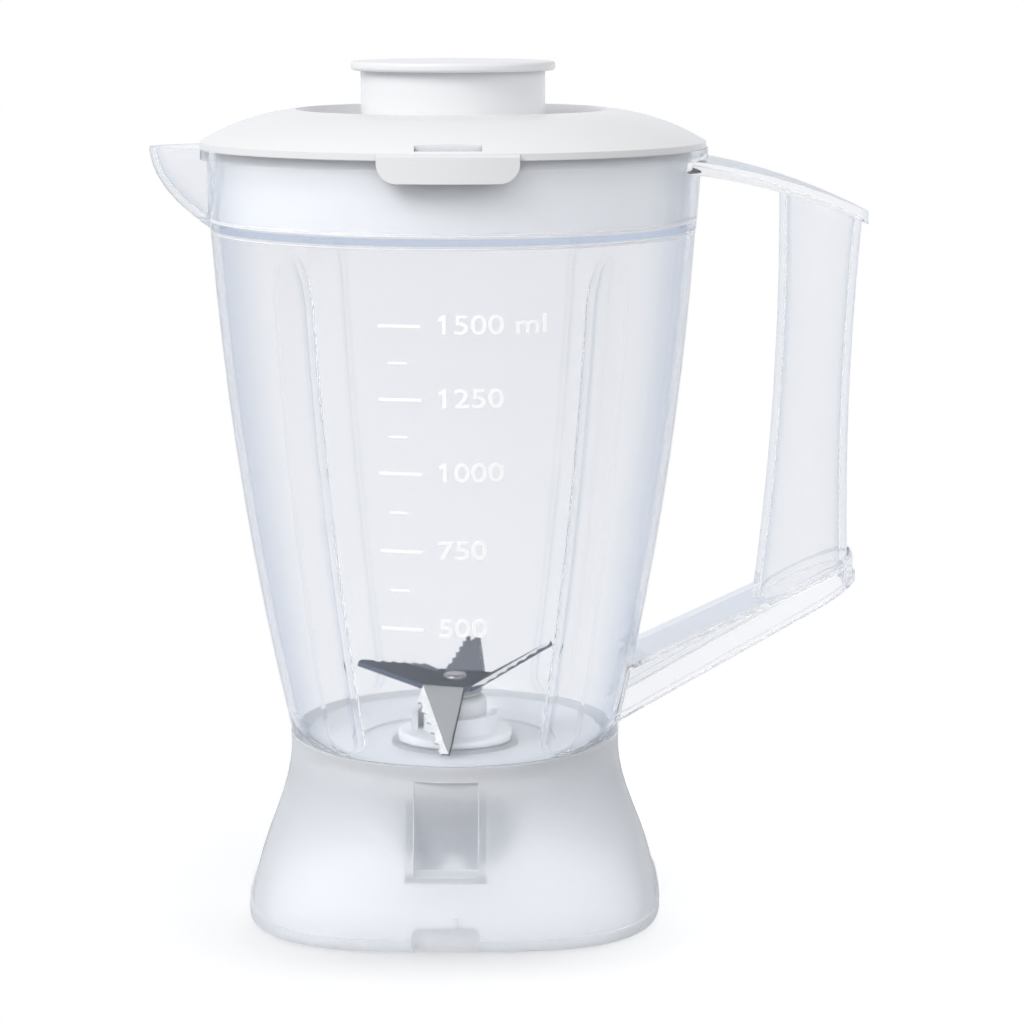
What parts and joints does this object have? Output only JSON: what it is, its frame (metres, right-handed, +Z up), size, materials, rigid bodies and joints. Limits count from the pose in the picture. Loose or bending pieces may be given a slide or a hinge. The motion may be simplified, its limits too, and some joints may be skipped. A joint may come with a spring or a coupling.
{
  "type": "blender jar",
  "caption": "Clear blender jar with moulded handle, pouring lip and flared skirt, a white push-in lid with filler cap, and a bladed drive unit through its floor.",
  "frame": {"origin": "on the jar's axis, in the plane of the foot that it stands on", "axes": "+Z up along the jar's axis, +X towards the handle, -X towards the pouring lip, -Y towards the lid's lift tab"},
  "size_m": [0.2155, 0.1546, 0.2563],
  "materials": {
    "clear_plastic": "clear and glossy, frosted on the skirt",
    "white_plastic": "glossy moulded",
    "silicone": "translucent matte",
    "grey_plastic": "translucent satin",
    "bronze": "sintered, oiled",
    "seal_rubber": "matte",
    "nut_plastic": "satin",
    "washer_plastic": "satin",
    "blade_steel": "stamped, with ground edges",
    "shaft_steel": "turned",
    "dark_plastic": "satin"
  },
  "bodies": {
    "jar": {"jar_body": "clear_plastic", "housing_gasket": "silicone", "bearing_housing": "grey_plastic", "upper_bush": "bronze", "lower_bush": "bronze", "shaft_seal": "seal_rubber", "lock_nut": "nut_plastic"},
    "rotor": {"blade": "blade_steel", "blade_shaft": "shaft_steel", "blade_collar": "shaft_steel", "upper_thrust_washer": "washer_plastic", "lower_thrust_washer": "washer_plastic", "circlip": "shaft_steel", "drive_coupling": "dark_plastic"},
    "lid": {"lid": "white_plastic"},
    "cap": {"filler_cap": "white_plastic"}
  },
  "joints": [
    {"name": "blade_spin", "type": "hinge", "parent": "jar", "child": "rotor", "pos_m": [0, 0, 0.0668], "axis": [0, 0, 1], "continuous": true},
    {"name": "lid_lift", "type": "slide", "parent": "jar", "child": "lid", "axis": [0, 0, 1], "range_m": [0, 0.05]},
    {"name": "cap_lift", "type": "slide", "parent": "lid", "child": "cap", "axis": [0, 0, 1], "range_m": [0, 0.03]}
  ]
}
